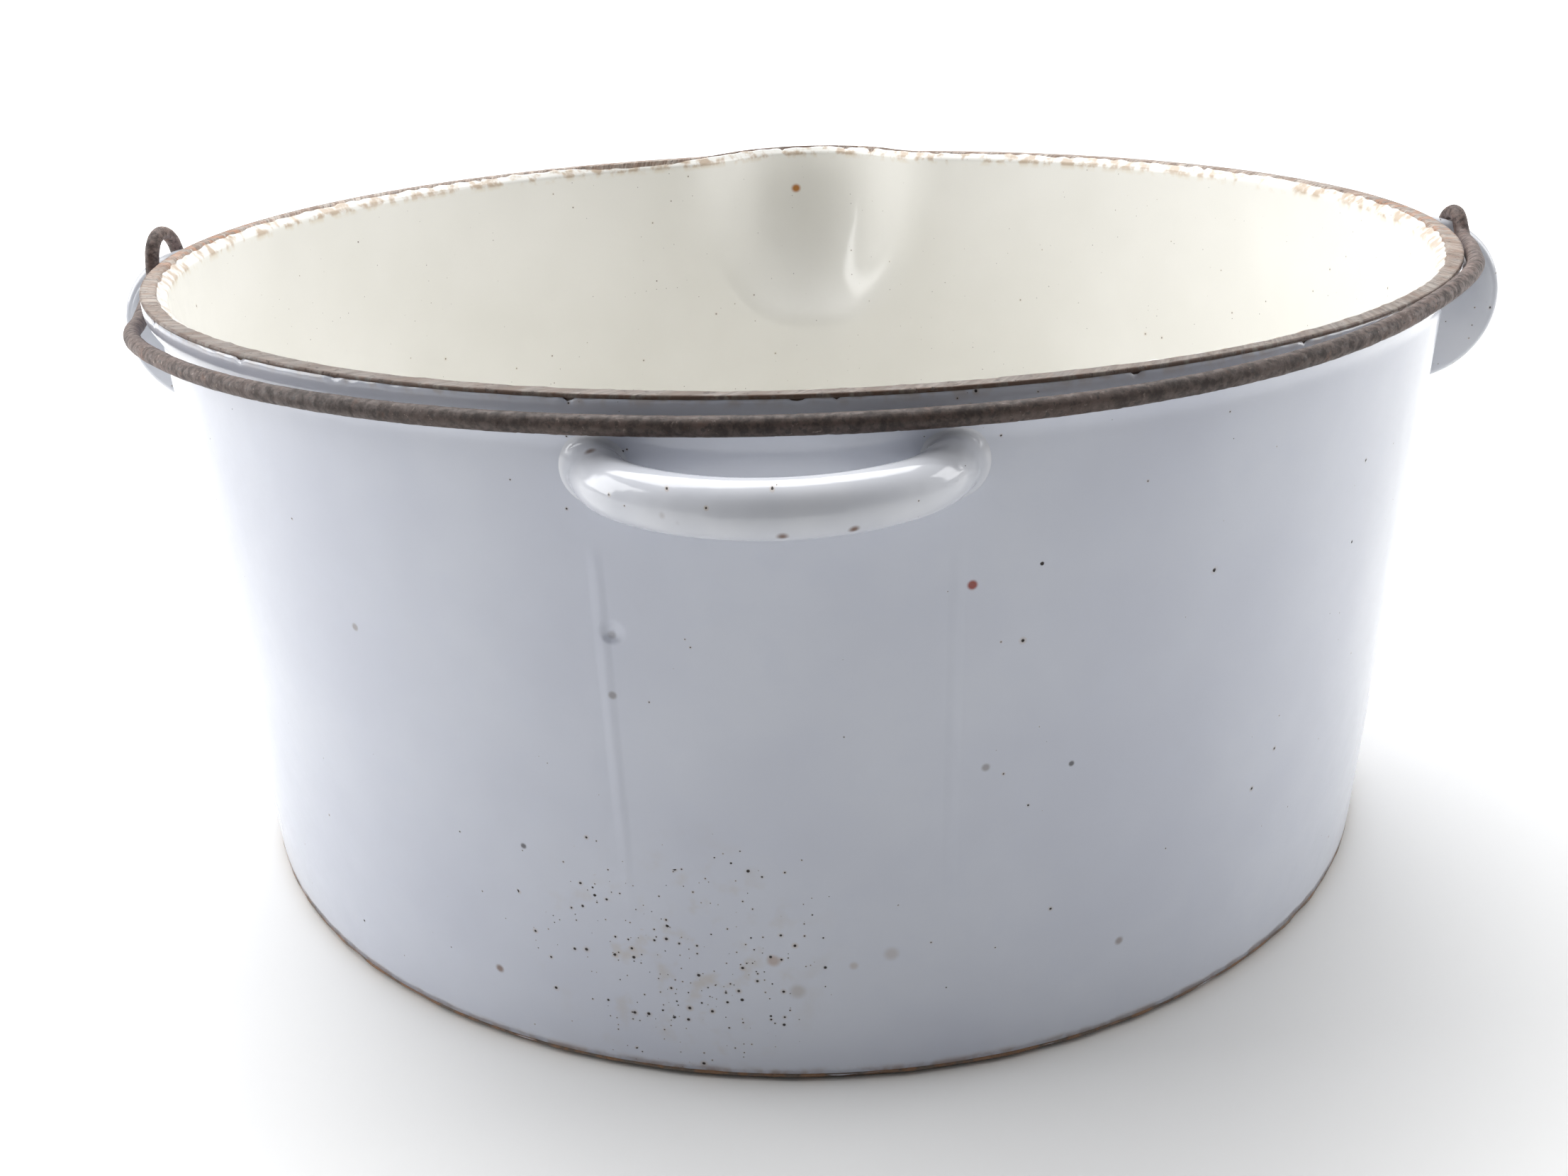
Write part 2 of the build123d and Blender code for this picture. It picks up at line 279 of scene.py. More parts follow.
def iron_rows():
    """The casting from the middle of its underside, round the foot and the rim, to the floor."""
    rows_r = [share * FOOT_R for share in (0.1, 0.3, 0.5, 0.7, 0.85, 0.95)]
    rows_z = [0.0] * len(rows_r)
    for r, z in ((FOOT_R - FOOT_BEVEL - 0.4, 0.0), (FOOT_R - FOOT_BEVEL + 0.1, 0.15),
                 (FOOT_R - 0.35, 1.3), (FOOT_R - 0.05, 1.7), (FOOT_R, 2.0)):
        rows_r.append(r)
        rows_z.append(z)
    wear = ragged(0.12, (10, 90), 8)
    r = np.array(rows_r)[:, None] + 0 * around
    z = np.array(rows_z)[:, None] + 0 * around
    r[8:11] += wear
    wall_z = np.concatenate([[2.4, 2.7, 20, 50, 80], np.arange(98, 168, 6.0), np.arange(169, 183.6, 1.3)])
    wall_z = wall_z[:, None] + 0 * around
    wall = outside_r(around, wall_z) - COAT_T
    wall[0] += COAT_T - 0.05
    rim_out = outside_r(around, RIM_Z + 0 * around)
    bevel_z = RIM_Z - RIM_BEVEL_H
    rim_in = inside_r(around, bevel_z + 0 * around)
    flat_in = rim_in + (RIM_R - RIM_FLAT) - (wall_line(bevel_z) - WALL_T) + ragged(0.3, (2, 14), 11)
    edge_r = np.vstack([rim_out - 0.4, rim_out - 0.08, rim_out, rim_out - 0.1, rim_out - 0.35])
    edge_z = RIM_Z - np.array([1.15, 0.95, 0.6, 0.2, 0.03])[:, None] + 0 * around
    flat_share = np.linspace(0.08, 0.94, 7)[:, None]
    flat_r = rim_out - 0.35 + (flat_in - rim_out + 0.35) * flat_share
    flat_z = RIM_Z - 0.12 * lumps(on_pot(around, flat_r, 0.0), 9.0, 12) ** 2
    bevel_share = np.array([0.04, 0.12, 0.35, 0.65, 0.9])[:, None]
    bevel_r = flat_in + (rim_in + 0.1 - flat_in) * bevel_share
    bevel_rows_z = RIM_Z + (bevel_z - RIM_Z) * bevel_share
    bevel_rows_z = bevel_rows_z + 0.18 * lumps(on_pot(around, bevel_r, 0.0), 3.0, 13)
    bowl_r, bowl_z = bowl_rows(COAT_T, bevel_z - 0.1 + 0 * around, 20)
    r = np.vstack([r, wall, edge_r, flat_r, bevel_r, bowl_r])
    z = np.vstack([z, wall_z, edge_z, flat_z, bevel_rows_z, bowl_z])
    return on_pot(around, r, z)


def rounded_path(corners, radii, step):
    """Straight runs joined by tangent arcs: every corner is cut by an arc of its own radius.

    An arc of radius R in a turn t touches both runs R tan(t/2) from the corner.
    """
    corners = np.asarray(corners, float)
    stretch = [corners[:1]]
    for before, corner, after, radius in zip(corners, corners[1:], corners[2:], radii):
        come = (corner - before) / np.linalg.norm(corner - before)
        go = (after - corner) / np.linalg.norm(after - corner)
        turn = acos(np.clip(come @ go, -1, 1))
        start = corner - come * radius * tan(turn / 2)
        side = go - come * cos(turn)
        side /= np.linalg.norm(side)
        t = np.linspace(0, turn, 24)[:, None]
        stretch.append(start + radius * (come * np.sin(t) + side * (1 - np.cos(t))))
    stretch.append(corners[-1:])
    return even_points(np.vstack(stretch), step)


def even_points(points, step):
    """The same line with its points a step apart."""
    length = np.concatenate([[0], np.cumsum(np.linalg.norm(np.diff(points, axis=0), axis=1))])
    places = np.linspace(0, length[-1], int(length[-1] / step) + 1)
    return np.stack([np.interp(places, length, points[:, k]) for k in range(3)], axis=-1)


def tube_frame(path, outward):
    """Tangent, and two directions across the path: the given one squared off, and their cross."""
    along = np.gradient(path, axis=0)
    along /= np.linalg.norm(along, axis=1, keepdims=True)
    across = outward - along * np.sum(outward * along, axis=1, keepdims=True)
    across /= np.linalg.norm(across, axis=1, keepdims=True)
    return along, across, np.cross(along, across)


# ------------------------------------------------------------------ grip
def grip_points():
    """A round bar along a bowed path; both ends spread on to the wall through a concave fillet.

    Each end is a quadratic curve from the bar's last ring, over a ring where the bar would meet
    the wall, to a wider ring on the wall, and then a cap inside the wall's thickness.
    """
    z = RIM_Z - GRIP_DROP
    middle_y = wall_line(z) + GRIP_REACH
    slope = asin(BOW_HALF / BOW_R)
    rise = BOW_R - sqrt(BOW_R**2 - BOW_HALF**2)
    knee_run = (GRIP_HALF_W - BOW_HALF) / cos(slope)
    knee_r = knee_run / tan((pi / 2 - slope) / 2)
    peak = middle_y - rise + BOW_HALF * tan(slope)
    knee = middle_y - rise - (GRIP_HALF_W - BOW_HALF) * tan(slope)
    root = wall_line(z) - 2 * GRIP_R
    w = GRIP_HALF_W
    corners = [(-w, -root, z), (-w, -knee, z), (0, -peak, z), (w, -knee, z), (w, -root, z)]
    path = rounded_path(corners, [0.96 * knee_r, 0.96 * BOW_R, 0.96 * knee_r], 0.7)
    clear = np.hypot(path[:, 0], path[:, 1]) - wall_line(z)
    bar = path[clear > GRIP_POOL]
    up = np.array([0.0, 0.0, 1.0])
    _, across, rising = tube_frame(bar, np.cross(np.gradient(bar, axis=0), up))
    turn = np.linspace(0, 2 * pi, 56, endpoint=False)[None, :, None]
    size = GRIP_R + 0.10 * lumps(bar[:, None, :] + 3 * np.cos(turn) * up, 14.0, 21)[..., None]
    rings = bar[:, None, :] + size * (np.cos(turn) * across[:, None] + np.sin(turn) * rising[:, None])
    ends = []
    roots = ((rings[0], -1, across[0], rising[0]), (rings[-1], 1, across[-1], rising[-1]))
    for ring, side, normal, lift in roots:
        angle = asin(side * w / wall_line(z))
        level = np.array([cos(angle), sin(angle), 0.0])
        level *= np.sign(level @ normal)
        lift = up * np.sign(lift @ up)
        foot = on_pot(angle, wall_line(z), z)

        def on_wall(radius, sink):
            """A ring of points round the root, laid on the wall and sunk into it."""
            flat = foot + radius * (np.cos(turn[0]) * level + np.sin(turn[0]) * lift)
            a = np.arctan2(flat[:, 0], -flat[:, 1])
            return on_pot(a, flared_line(flat[:, 2]) - sink, flat[:, 2])

        heel, spread = on_wall(GRIP_R, -0.35), on_wall(GRIP_R + GRIP_POOL, 0.35)
        t = np.linspace(0, 1, 12)[1:, None, None]
        fillet = (1 - t) ** 2 * ring + 2 * t * (1 - t) * heel + t**2 * spread
        cap = [on_wall(GRIP_R + GRIP_POOL, 1.2)[None], on_wall(GRIP_R * 0.6, 1.6)[None]]
        ends.append(np.concatenate([fillet] + cap))
    return np.concatenate([ends[0][::-1], rings, ends[1]])


# ------------------------------------------------------------------ ears
EAR_Z = RIM_Z - EAR_DROP
EAR_X = wall_line(EAR_Z) + EAR_OFF
EYE_X, EYE_R = EAR_X + EYE_OUT, WIRE_R + EYE_PLAY
BRIDGE_TOP = EAR_Z + sqrt(EAR_R**2 - EYE_OUT**2)
EYE_Z = BRIDGE_TOP - BRIDGE_H - EYE_R


def ear_points(side):
    """A plump half-disc with an eye: a closed section carried round the eye.

    In each direction from the eye's middle the section runs out to the disc's circle or to a line
    inside the wall. It is a rounded rectangle whose faces swell, and it thickens into the wall.
    """
    turn = np.linspace(0, 2 * pi, 180, endpoint=False)[:, None]
    way_x, way_z = np.cos(turn), np.sin(turn)
    off_x, off_z = EYE_X - EAR_X, EYE_Z - EAR_Z
    dot = off_x * way_x + off_z * way_z
    to_disc = -dot + np.sqrt(dot**2 - (off_x**2 + off_z**2 - EAR_R**2))
    lean = WALL_DRAW / RIM_Z
    room = EYE_X - (wall_line(EYE_Z) - EAR_SINK)
    to_wall = room / np.maximum(-way_x + lean * way_z, 1e-3)
    length = np.minimum(to_disc, to_wall) - EYE_R
    edge = np.where(to_wall < to_disc, 0.8, EAR_ROUND)
    half = EAR_T / 2
    t = np.linspace(0, 1, 9)[None, :]
    quarter = t[:, 1:-1] * pi / 2
    mouth_a = EYE_ROUND * (1 - np.cos(quarter)) + 0 * turn
    mouth_b = half - EYE_ROUND * (1 - np.sin(quarter)) + 0 * turn
    face_t = np.linspace(0, 1, 16)[None, :]
    face_a = EYE_ROUND + (length - edge - EYE_ROUND) * face_t
    swell = EAR_CROWN * np.minimum(1, length / 14) * np.sin(pi * face_t) ** 0.8
    face_b = half + swell
    edge_a = length - edge * (1 - np.sin(quarter))
    edge_b = half - edge * (1 - np.cos(quarter))
    side_t = np.linspace(1, 0, 5)[None, :]
    side_a, side_b = length + 0 * side_t, (half - edge) * side_t
    tunnel_t = np.linspace(0, 1, 5)[None, :]
    tunnel_a, tunnel_b = 0 * tunnel_t + 0 * turn, (half - EYE_ROUND) * tunnel_t + 0 * turn
    a = np.hstack([tunnel_a, mouth_a, face_a, edge_a, side_a])
    b = np.hstack([tunnel_b, mouth_b, face_b, edge_b, side_b])
    a = np.hstack([a, a[:, -2:0:-1]])
    b = np.hstack([b, -b[:, -2:0:-1]])
    x = EYE_X + (EYE_R + a) * way_x
    z = EYE_Z + (EYE_R + a) * way_z
    clear = x - flared_line(z)
    pool = EAR_POOL * np.clip(1 - clear / EAR_POOL, 0, 1) ** 2
    y = b * (half + np.minimum(pool, EAR_POOL)) / half
    y = y + 0.12 * lumps(np.stack([x, y, z], axis=-1), 9.0, 31)
    return np.stack([side * x, y, z], axis=-1)


# ------------------------------------------------------------------ bail
BAIL_R = RIM_R + WIRE_R + BAIL_PLAY
BRIDGE_Z = BRIDGE_TOP - BRIDGE_H / 2
HOOK_TIP, FOOT_BEND_R, END_BEND_R, BOW_STEP = 300.0, 6.0, 200.0, radians(19.5)
HOOK_R = {-1: BRIDGE_H / 2 + EYE_R + 1.85, 1: BRIDGE_H / 2 + EYE_R - 0.5}
HOOK_Z = {-1: BRIDGE_Z, 1: BRIDGE_Z - 1.6}
HOOK_OPEN, HOOK_LEG = {-1: 15.0, 1: 40.0}, {-1: 6.5, 1: 5.0}
END_TURN, END_OUT, END_RISE = {-1: 73.0, 1: 78.0}, {-1: -0.5, 1: 0.6}, {-1: -12.8, 1: -4.0}
BOW_RISE = {-1: (-0.3, -1.0, -2.5), 1: (0.2, 2.2, 7.0)}


def hook_point(side, angle):
    """A point of a hook's centre line; 0 degrees is to the front, 90 is up."""
    a = np.radians(angle)
    r = HOOK_R[side]
    return np.stack([side * EYE_X + 0 * a, -r * np.cos(a), HOOK_Z[side] + r * np.sin(a)], axis=-1)


def half_bow(side):
    """Corner points from the front of the bow round to one hook."""
    r = BAIL_R / cos(BOW_STEP / 2)
    turns = BOW_STEP * np.arange(1, 4)
    bow = on_pot(side * turns, r, RIM_Z - BAIL_DROP + np.array(BOW_RISE[side]))
    end = on_pot(side * radians(END_TURN[side]), BAIL_R + END_OUT[side], RIM_Z + END_RISE[side])
    leave = hook_point(side, HOOK_OPEN[side])
    a = radians(HOOK_OPEN[side])
    foot = leave - HOOK_LEG[side] * np.array([0, sin(a), cos(a)])
    return np.vstack([bow, end, foot, leave])


def bail_points():
    """A round wire along the hooks and the bow, its skin roughened by rust of three sizes."""
    front = on_pot(0.0, BAIL_R / cos(BOW_STEP / 2), RIM_Z - BAIL_DROP)
    corners = np.vstack([half_bow(-1)[::-1], front, half_bow(1)])
    bow_bend = 0.96 * BAIL_R
    end_bends = [FOOT_BEND_R, END_BEND_R, 0.82 * bow_bend]
    run = rounded_path(corners, end_bends + 5 * [bow_bend] + end_bends[::-1], 0.5)
    left_hook = hook_point(-1, np.linspace(HOOK_TIP, HOOK_OPEN[-1], 90)[:-1])
    right_hook = hook_point(1, np.linspace(HOOK_OPEN[1], HOOK_TIP, 90)[1:])
    path = even_points(np.vstack([left_hook, run, right_hook]), 0.5)
    outward = path * (1, 1, 0)
    along, across, rising = tube_frame(path, outward)
    turn = np.linspace(0, 2 * pi, 30, endpoint=False)[None, :, None]
    around_wire = np.cos(turn) * across[:, None] + np.sin(turn) * rising[:, None]
    skin = path[:, None] + WIRE_R * around_wire
    rust = 0.05 * lumps(skin, 6.0, 41) + 0.05 * lumps(skin, 1.7, 42) + 0.035 * lumps(skin, 0.8, 43)
    pits = -0.10 * smooth(lumps(skin, 1.3, 44), 0.45, 0.8)
    body = path[:, None] + (WIRE_R - 0.03 + rust + pits)[..., None] * around_wire
    caps = [path[i] + step * along[i] + WIRE_R * share * around_wire[i]
            for i, step, share in ((0, -0.35, 0.8), (-1, 0.35, 0.8))]
    return np.concatenate([caps[0][None], body, caps[1][None]])


# ------------------------------------------------------------------ finishes
class Finish:
    """A material being made, with short ways to add nodes that read the piece's own place."""

    def __init__(self, name, **fixed):
        self.material = bpy.data.materials.new(name)
        self.material.use_nodes = True
        self.tree = self.material.node_tree
        self.shader = self.tree.nodes["Principled BSDF"]
        for socket, value in fixed.items():
            self.shader.inputs[socket.replace("_", " ")].default_value = value
        self.place = self.add("ShaderNodeTexCoord").outputs["Object"]
        split = self.add("ShaderNodeSeparateXYZ", Vector=self.place)
        self.x, self.y, self.z = split.outputs

    def put(self, socket, value):
        """Links an output to a socket, or sets the socket's own value."""
        if isinstance(value, bpy.types.NodeSocket):
            self.tree.links.new(value, socket)
        else:
            socket.default_value = value

    def add(self, kind, settings=None, **inputs):
        node = self.tree.nodes.new(kind)
        for key, value in (settings or {}).items():
            setattr(node, key, value)
        for key, value in inputs.items():
            self.put(node.inputs[key.replace("_", " ")], value)
        return node

    def math(self, operation, a, b=0.0, c=0.0):
        node = self.add("ShaderNodeMath", {"operation": operation})
        for socket, value in zip(node.inputs, (a, b, c)):
            self.put(socket, value)
        return node.outputs[0]

    def vector(self, x, y, z):
        return self.add("ShaderNodeCombineXYZ", X=x, Y=y, Z=z).outputs[0]

    def unrolled(self):
        """The wall laid flat: arc length to the right, height up, in metres."""
        angle = self.math("ARCTAN2", self.x, self.math("MULTIPLY", self.y, -1.0))
        return self.vector(self.math("MULTIPLY", angle, wall_line(90) * MM), self.z, 0.0)

    def noise(self, cell, detail=2.0, place=None, rough=0.5, warp=0.0):
        """Cloudy noise whose lumps are about cell millimetres wide."""
        node = self.add("ShaderNodeTexNoise", Vector=place or self.place, Scale=1 / (cell * MM),
                        Detail=detail, Roughness=rough, Distortion=warp)
        return node.outputs[0]

    def step(self, value, low, high, start=0.0, end=1.0):
        """An S-shaped step from start to end as value goes from low to high."""
        node = self.add("ShaderNodeMapRange", {"interpolation_type": "SMOOTHSTEP"}, Value=value)
        for key, number in (("From Min", low), ("From Max", high), ("To Min", start), ("To Max", end)):
            self.put(node.inputs[key], number)
        return node.outputs[0]

    def colour(self, share, under, over, mode="MIX"):
        node = self.add("ShaderNodeMix", {"data_type": "RGBA", "blend_type": mode, "clamp_factor": True})
        for index, value in ((0, share), (6, under), (7, over)):
            self.put(node.inputs[index], value)
        return node.outputs[2]

    def times(self, *values):
        result = values[0]
        for value in values[1:]:
            result = self.math("MULTIPLY", result, value)
        return result

    def most(self, *values):
        result = values[0]
        for value in values[1:]:
            result = self.math("MAXIMUM", result, value)
        return result

    def near(self, place, centre, radius, soft):
        """1 within radius of centre, falling to 0 a soft width further out; all in mm."""
        apart = self.add("ShaderNodeVectorMath", {"operation": "DISTANCE"})
        self.put(apart.inputs[0], place)
        apart.inputs[1].default_value = [c * MM for c in centre]
        return self.step(apart.outputs["Value"], radius * MM, (radius + soft) * MM, 1.0, 0.0)

    def dots(self, place, cell, size, share, seed):
        """Scattered round dots: one per cell at most, of random size, where share allows them.

        Returns the dots and softer rings round them.
        """
        shifted = self.add("ShaderNodeVectorMath", {"operation": "ADD"})
        self.put(shifted.inputs[0], place)
        shifted.inputs[1].default_value = (seed * 0.37, seed * 0.11, 0.0)
        node = self.add("ShaderNodeTexVoronoi", {"voronoi_dimensions": "2D"},
                        Vector=shifted.outputs[0], Scale=1 / (cell * MM))
        pick = self.add("ShaderNodeSeparateColor", Color=node.outputs["Color"])
        kept = self.math("LESS_THAN", pick.outputs[0], share)
        radius = self.math("MULTIPLY", self.math("MULTIPLY_ADD", pick.outputs[1], 0.75, 0.25), size / cell)
        ratio = self.math("DIVIDE", node.outputs["Distance"], radius)
        dot = self.step(ratio, 0.7, 1.15, 1.0, 0.0)
        halo = self.step(ratio, 1.0, 3.2, 1.0, 0.0)
        return self.times(dot, kept), self.times(halo, kept, pick.outputs[2])

    def bump(self, height, distance, strength=1.0, under=None):
        """Relief from a height of 0 to 1 that stands for distance millimetres."""
        node = self.add("ShaderNodeBump", Height=height, Strength=strength, Distance=distance * MM)
        if under is not None:
            self.put(node.inputs["Normal"], under)
        return node.outputs[0]

    def done(self, colour, rough, normal):
        self.put(self.shader.inputs["Base Color"], colour)
        self.put(self.shader.inputs["Roughness"], rough)
        self.put(self.shader.inputs["Normal"], normal)
        return self.material


def rgb(red, green, blue):
    """A colour from sRGB numbers, 0 to 255."""
    def linear(v):
        v /= 255
        return v / 12.92 if v < 0.04045 else ((v + 0.055) / 1.055) ** 2.4
    return (linear(red), linear(green), linear(blue), 1.0)


DARK_RUST, PIT = rgb(88, 58, 42), rgb(40, 32, 28)


def outer_glaze():
    """Glossy pale blue-grey enamel: orange peel, gas pits, stains and two casting seams."""
    f = Finish("outer_blue_grey_enamel", IOR=1.52, Specular_IOR_Level=0.55)
    flat = f.unrolled()
    cloud = f.noise(60, 3.0)
    base = f.colour(f.step(cloud, 0.3, 0.7), rgb(196, 200, 213), rgb(205, 209, 220))
    base = f.colour(f.step(f.noise(9, 3.0), 0.45, 0.8, 0.0, 0.35), base, rgb(198, 203, 217))

    # gas pits crowd in one patch low on the front and sit round the grip's roots
    patch = f.times(f.near(f.place, (-28, -188, 38), 8, 40), f.step(f.noise(14, 2.0), 0.35, 0.62, 0.35, 1.0))
    roots = f.most(f.near(f.place, (-38, -196, 176), 5, 9), f.near(f.place, (38, -196, 176), 5, 9))
    share = f.math("ADD", f.times(patch, 0.62), f.times(roots, 0.5))
    pits, rings = f.dots(flat, 3.6, 0.48, f.math("ADD", share, 0.002), 1)
    fine, fine_rings = f.dots(flat, 2.1, 0.22, f.math("ADD", f.times(share, 0.7), 0.005), 2)
    lone, lone_rings = f.dots(flat, 24.0, 0.42, 0.06, 3)
    every_pit = f.most(pits, fine, lone)
    halo = f.most(rings, fine_rings, lone_rings)
    base = f.colour(f.times(halo, 0.38), base, rgb(176, 150, 120))
    stain = f.times(patch, f.step(f.noise(7, 3.0), 0.5, 0.75), 0.4)
    base = f.colour(stain, base, rgb(186, 172, 150))

    # single stains, rust spots and a hair mark, by angle and height
    for angle, z, radius, soft, tone, depth in SPOTS:
        arc = radians(angle) * wall_line(90)
        base = f.colour(f.times(f.near(flat, (arc, z, 0), radius, soft), depth), base, tone)

    # yellow-brown stains under the rim and a rust line at the foot
    ragged_mask = f.step(f.noise(4, 4.0), 0.42, 0.66)
    under_rim = f.times(f.step(f.z, 0.1815, 0.1847), ragged_mask)
    base = f.colour(f.times(under_rim, 0.4), base, rgb(170, 140, 100))
    base = f.colour(f.times(f.step(f.z, 0.0055, 0.002), f.step(f.noise(6, 3.0), 0.38, 0.6), 0.6), base,
                    rgb(150, 120, 92))
    base = f.colour(every_pit, base, PIT)

    peel = f.bump(f.noise(2.6, 2.0), 0.05, 0.55)
    waves = f.bump(f.noise(22, 2.0), 0.55, 0.5, peel)
    seam = f.most(*[
        f.step(f.math("ABSOLUTE", f.math("SUBTRACT", f.math("DIVIDE", f.x, f.math("MULTIPLY", f.y, -1.0)),
                                         tan(radians(a)))), 0.0, 0.012, 1.0, 0.0)
        for a in (-11.8, 11.6)])
    seam = f.times(seam, f.step(f.z, 0.03, 0.10), f.step(f.z, 0.150, 0.145), f.step(f.y, 0.0, -0.05))
    seams = f.bump(seam, 0.25, 0.8, waves)
    dent = f.near(flat, (radians(-11.1) * wall_line(90), 128.7, 0), 0.6, 3.0)
    dented = f.bump(dent, -0.7, 1.0, seams)
    relief = f.bump(every_pit, -0.5, 1.0, dented)
    rough = f.math("ADD", f.step(f.noise(30, 3.0), 0.3, 0.7, 0.10, 0.17), f.times(every_pit, 0.6))
    return f.done(base, rough, relief)


def inner_glaze():
    """Glossy cream-white enamel with faint specks and stains under the rim."""
    f = Finish("inner_cream_enamel", IOR=1.52, Specular_IOR_Level=0.5)
    flat = f.unrolled()
    base = f.colour(f.step(f.noise(70, 3.0), 0.3, 0.7), rgb(231, 230, 225), rgb(237, 236, 232))
    specks, rings = f.dots(flat, 9.0, 0.40, 0.10, 5)
    fine, _ = f.dots(flat, 5.0, 0.22, 0.12, 6)
    base = f.colour(f.times(rings, 0.3), base, rgb(206, 192, 168))
    wear = f.step(f.noise(5, 4.0), 0.44, 0.64)
    base = f.colour(f.times(f.step(f.z, 0.1790, 0.1818), wear, 0.35), base, rgb(203, 176, 128))
    base = f.colour(f.times(f.step(f.z, 0.1808, 0.1820), wear, 0.5), base, rgb(146, 108, 70))
    spout_spot = f.near(flat, (radians(-178.3) * wall_line(90), 166.5, 0), 0.9, 1.6)
    base = f.colour(spout_spot, base, rgb(176, 120, 66))
    base = f.colour(f.times(f.most(specks, fine), 0.8), base, rgb(96, 84, 74))
    tint = f.step(f.z, 0.03, 0.006)
    base = f.colour(f.times(tint, f.step(f.noise(25, 4.0), 0.4, 0.7), 0.35), base, rgb(214, 205, 188))
    peel = f.bump(f.noise(3.0, 2.0), 0.05, 0.5)
    waves = f.bump(f.noise(26, 2.0), 0.6, 0.45, peel)
    rough = f.step(f.noise(18, 3.0), 0.3, 0.7, 0.12, 0.22)
    return f.done(base, rough, waves)


def ground_iron():
    """Bare ground iron: slanting file marks, brown film, orange rust where the bail rubs, and painted shade
    over its front.
    """
    f = Finish("ground_rusty_iron", IOR=1.6)
    angle = f.math("ARCTAN2", f.x, f.math("MULTIPLY", f.y, -1.0))
    arc = f.math("MULTIPLY", angle, RIM_R * MM)
    r = f.math("SQRT", f.math("ADD", f.math("POWER", f.x, 2.0), f.math("POWER", f.y, 2.0)))
    slant = f.math("MULTIPLY_ADD", r, 0.9, arc)
    marks = f.noise(1.1, 4.0, f.vector(slant, f.times(r, 0.10), f.times(f.z, 0.2)), 0.65)
    broad = f.noise(7.0, 4.0, f.vector(slant, f.times(r, 0.4), f.z), 0.6)
    base = f.colour(f.step(marks, 0.38, 0.62), rgb(104, 90, 80), rgb(170, 160, 150))
    base = f.colour(f.step(broad, 0.42, 0.62, 0.0, 0.7), base, rgb(118, 98, 84))
    rubbed = f.most(f.near(f.place, (-196, 0, 185), 26, 30), f.near(f.place, (197, -8, 185), 24, 30))
    orange = f.times(f.step(f.noise(5.0, 5.0, None, 0.65), 0.46, 0.58),
                     f.math("MULTIPLY_ADD", rubbed, 0.5, 0.14))
    base = f.colour(orange, base, rgb(160, 104, 62))
    # painted shade: the iron is darkened toward the front, the side facing the viewer
    front = f.times(f.step(f.y, -0.06, -0.17), 0.62)
    base = f.colour(front, base, rgb(70, 60, 53))
    edge = f.step(r, 0.1990, 0.1999)
    base = f.colour(f.times(edge, f.step(f.noise(3.0, 4.0), 0.40, 0.55), 0.8), base, rgb(84, 58, 42))
    base = f.colour(f.times(f.step(f.z, 0.012, 0.003), 0.85), base,
                    f.colour(f.step(f.noise(4.0, 4.0), 0.4, 0.6), rgb(96, 84, 74), rgb(134, 98, 68)))
    pits = f.step(f.noise(1.6, 5.0, None, 0.7), 0.56, 0.70)
    base = f.colour(f.times(pits, 0.75), base, rgb(58, 44, 36))
    f.put(f.shader.inputs["Metallic"], f.step(marks, 0.45, 0.7, 0.05, 0.45))
    relief = f.bump(marks, 0.10, 0.7)
    relief = f.bump(f.math("MULTIPLY", pits, -1.0), 0.18, 0.8, relief)
    return f.done(base, f.step(broad, 0.3, 0.7, 0.42, 0.68), relief)


def handle_glaze(name, rusty_eye):
    """Thick pale glaze on the grip and the ears: pooled, pinholed and stained near the eyes."""
    f = Finish(name, IOR=1.52, Specular_IOR_Level=0.6)
    base = f.colour(f.step(f.noise(26, 3.0), 0.3, 0.7), rgb(198, 201, 209), rgb(212, 214, 220))
    flat = f.vector(f.x, f.z, 0.0)
    pits, rings = f.dots(flat, 7.0, 0.45, 0.10, 8)
    fine, fine_rings = f.dots(flat, 3.4, 0.22, 0.10, 9)
    base = f.colour(f.times(f.most(rings, fine_rings), 0.5), base, rgb(182, 156, 122))
    if rusty_eye:
        side = f.math("ABSOLUTE", f.x)
        place = f.vector(side, f.y, f.z)
        eye = f.near(place, (EYE_X, 0, EYE_Z), EYE_R - 1.0, 4.2)
        run = f.times(f.near(place, (EYE_X - 1, 0, EYE_Z - 8), 2.5, 6.5), f.step(f.noise(4, 4.0), 0.40, 0.62))
        base = f.colour(f.times(eye, f.step(f.noise(3, 4.0), 0.32, 0.55), 0.85), base, rgb(120, 82, 56))
        base = f.colour(f.times(run, 0.75), base, rgb(150, 112, 80))
        base = f.colour(f.near(place, (EYE_X, 0, EYE_Z), EYE_R - 1.2, 1.0), base, DARK_RUST)
    else:
        for x, y, z, radius in ((3, -224, 162.6, 0.9), (17, -221, 163.0, 0.7), (-20, -219, 167, 0.5),
                                (-17, -220, 166, 0.4), (-38, -198, 175, 1.6), (36, -199, 176, 1.6)):
            base = f.colour(f.near(f.place, (x, y, z), radius, 1.1), base, rgb(104, 72, 50))
    base = f.colour(f.most(pits, fine), base, PIT)
    peel = f.bump(f.noise(3.0, 2.0), 0.05, 0.6)
    waves = f.bump(f.noise(13, 2.0), 0.5, 0.5, peel)
    relief = f.bump(f.most(pits, fine), -0.4, 1.0, waves)
    return f.done(base, f.step(f.noise(12, 3.0), 0.3, 0.7, 0.08, 0.16), relief)


